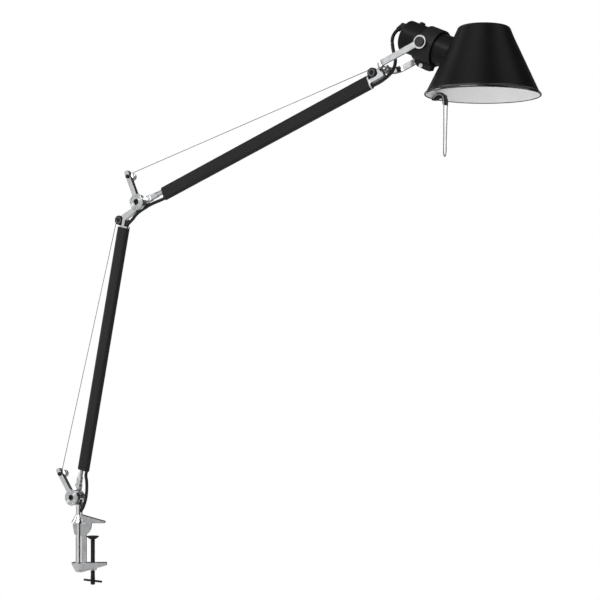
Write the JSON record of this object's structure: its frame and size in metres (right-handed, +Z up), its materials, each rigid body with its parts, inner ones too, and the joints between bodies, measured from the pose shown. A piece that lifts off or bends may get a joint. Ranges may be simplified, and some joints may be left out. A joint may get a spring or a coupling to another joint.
{
  "type": "architect desk lamp",
  "caption": "Clamp-on architect desk lamp with spring-balanced two-part arm, tension wires, forked tilting head and conical black shade.",
  "frame": {"origin": "underside of the clamp's upper jaw, on the axis of the clamp screw, so the clamped table's top is z = 0", "axes": "+Z up; both arms stand in one plane parallel to XZ at y = -13.3 mm and the head reaches towards +X; the jaws of the clamp point 33 degrees from +X towards +Y; -Y is the side with the levers and machined discs"},
  "size_m": [0.9416, 0.18, 0.9402],
  "materials": {
    "polished_aluminium": "polished",
    "bright_steel": "bright zinc-plated steel",
    "spring_steel": "drawn spring wire",
    "black_aluminium": "satin black anodised",
    "black_paint": "matte black paint",
    "black_plastic": "moulded, satin",
    "black_steel": "black oxide steel",
    "black_cable": "soft cable sheath",
    "white_plastic": "heat-proof white moulding",
    "opal_glass": "opal"
  },
  "bodies": {
    "clamp": {"clamp_upper_jaw": "polished_aluminium", "clamp_lower_jaw": "polished_aluminium", "clamp_column": "polished_aluminium", "clamp_thread_insert": "bright_steel", "clamp_tie_bolt": "bright_steel", "post_bushing": "black_plastic"},
    "clamp_pad": {"clamp_pad": "black_plastic"},
    "clamp_screw": {"clamp_screw": "black_steel", "clamp_tommy_bar": "black_steel"},
    "swivel": {"swivel_post": "polished_aluminium", "shoulder_disc": "polished_aluminium", "shoulder_pivot_bolt": "bright_steel", "shoulder_pivot_nut": "bright_steel", "shoulder_wire_drum": "polished_aluminium", "shoulder_wire_pin": "black_steel"},
    "lower_arm": {"lower_tube": "black_aluminium", "lower_foot_plug": "black_plastic", "lower_foot": "polished_aluminium", "lower_spring": "spring_steel", "lower_tension_wire": "bright_steel", "lower_inner_wire": "bright_steel", "lower_pulley_axle": "black_steel", "lower_cable": "black_cable", "lower_end_fitting": "polished_aluminium", "elbow_disc": "polished_aluminium", "elbow_pivot_bolt": "bright_steel", "elbow_pivot_nut": "bright_steel", "elbow_wire_drum": "polished_aluminium", "elbow_wire_pin": "black_steel", "cable_base_loop": "black_cable"},
    "lower_pulley": {"lower_pulley": "black_plastic"},
    "upper_arm": {"upper_tube": "black_aluminium", "upper_foot_plug": "black_plastic", "upper_foot": "polished_aluminium", "upper_spring": "spring_steel", "upper_tension_wire": "bright_steel", "upper_inner_wire": "bright_steel", "upper_pulley_axle": "black_steel", "upper_cable": "black_cable", "upper_end_fitting": "polished_aluminium", "head_fork": "polished_aluminium", "fork_screw": "bright_steel", "cable_elbow_loop": "black_cable"},
    "upper_pulley": {"upper_pulley": "black_plastic"},
    "head_ring": {"head_ring": "black_plastic", "head_pin_front": "black_plastic", "head_pin_rear": "black_plastic", "ring_screw": "bright_steel", "cable_head_loop": "black_cable"},
    "head": {"head_housing": "black_paint", "head_rear_cap": "black_plastic", "cable_gland": "black_plastic", "lamp_socket": "white_plastic", "bulb": "opal_glass", "shade": "black_paint", "handle_wire": "polished_aluminium", "handle_clip": "black_plastic", "cable_head_tail": "black_cable"},
    "switch": {"switch_button": "black_plastic"}
  },
  "joints": [
    {"name": "clamp_pad_slide", "type": "slide", "parent": "clamp", "child": "clamp_pad", "axis": [0, 0, 1], "range_m": [-0.04, 0.001]},
    {"name": "clamp_screw_turn", "type": "hinge", "parent": "clamp_pad", "child": "clamp_screw", "pos_m": [0, 0, -0.06], "axis": [0, 0, 1], "range_deg": [-11600, 300]},
    {"name": "base_swivel", "type": "hinge", "parent": "clamp", "child": "swivel", "pos_m": [-0.02055, -0.01334, 0.01], "axis": [0, 0, 1], "range_deg": [-180, 180]},
    {"name": "shoulder", "type": "hinge", "parent": "swivel", "child": "lower_arm", "pos_m": [-0.02725, -0.01334, 0.0464], "axis": [0, 1, 0], "range_deg": [-20, 60], "deforming": ["cable_base_loop", "lower_tension_wire", "lower_inner_wire", "lower_spring"]},
    {"name": "elbow", "type": "hinge", "parent": "lower_arm", "child": "upper_arm", "pos_m": [0.12129, -0.01334, 0.5704], "axis": [0, 1, 0], "range_deg": [-55, 65], "deforming": ["cable_elbow_loop", "upper_tension_wire", "upper_inner_wire", "upper_spring"]},
    {"name": "lower_pulley_turn", "type": "hinge", "parent": "lower_arm", "child": "lower_pulley", "pos_m": [0.07349, -0.01334, 0.54158], "axis": [0, 1, 0], "range_deg": [-350, 118]},
    {"name": "upper_pulley_turn", "type": "hinge", "parent": "upper_arm", "child": "upper_pulley", "pos_m": [0.5921, -0.01334, 0.75397], "axis": [0, 1, 0], "range_deg": [-360, 305]},
    {"name": "head_tilt", "type": "hinge", "parent": "upper_arm", "child": "head_ring", "pos_m": [0.69528, -0.01334, 0.78783], "axis": [0, 1, 0], "range_deg": [-75, 50], "deforming": ["cable_head_loop"]},
    {"name": "head_rotate", "type": "hinge", "parent": "head_ring", "child": "head", "pos_m": [0.69528, -0.01334, 0.78783], "axis": [0.91, 0, -0.4147], "range_deg": [-60, 60], "deforming": ["cable_head_tail"]},
    {"name": "switch_press", "type": "slide", "parent": "head", "child": "switch", "axis": [0.4147, 0, 0.91], "range_m": [-0.0015, 0], "stiffness_N_per_m": 800}
  ],
  "couplings": [
    {"joint": "clamp_screw_turn", "follows": "clamp_pad_slide", "rad_per_m": 5026.5},
    {"joint": "lower_pulley_turn", "follows": "shoulder", "ratio": -5.8},
    {"joint": "upper_pulley_turn", "follows": "elbow", "ratio": -5.5}
  ]
}
